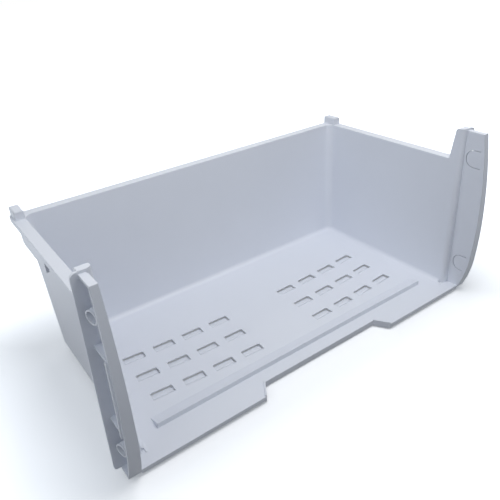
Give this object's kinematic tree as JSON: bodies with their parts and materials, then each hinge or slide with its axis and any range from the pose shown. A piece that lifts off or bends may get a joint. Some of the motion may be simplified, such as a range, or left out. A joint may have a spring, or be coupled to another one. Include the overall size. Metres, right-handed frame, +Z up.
{
  "type": "freezer drawer body",
  "caption": "One-piece moulded freezer drawer body, open at top and front, with louvred floor, outward rim and ribbed front posts whose snap bosses take a separate front panel.",
  "frame": {"origin": "on the resting plane, below the middle of the bounding box", "axes": "+X across the drawer to the right seen from its open front, +Y towards the rear wall, +Z up"},
  "size_m": [0.4614, 0.2468, 0.2007],
  "materials": {
    "body_plastic": "satin moulded polystyrene, pale bluish white"
  },
  "bodies": {
    "root": {"drawer_body": "body_plastic"}
  },
  "joints": []
}
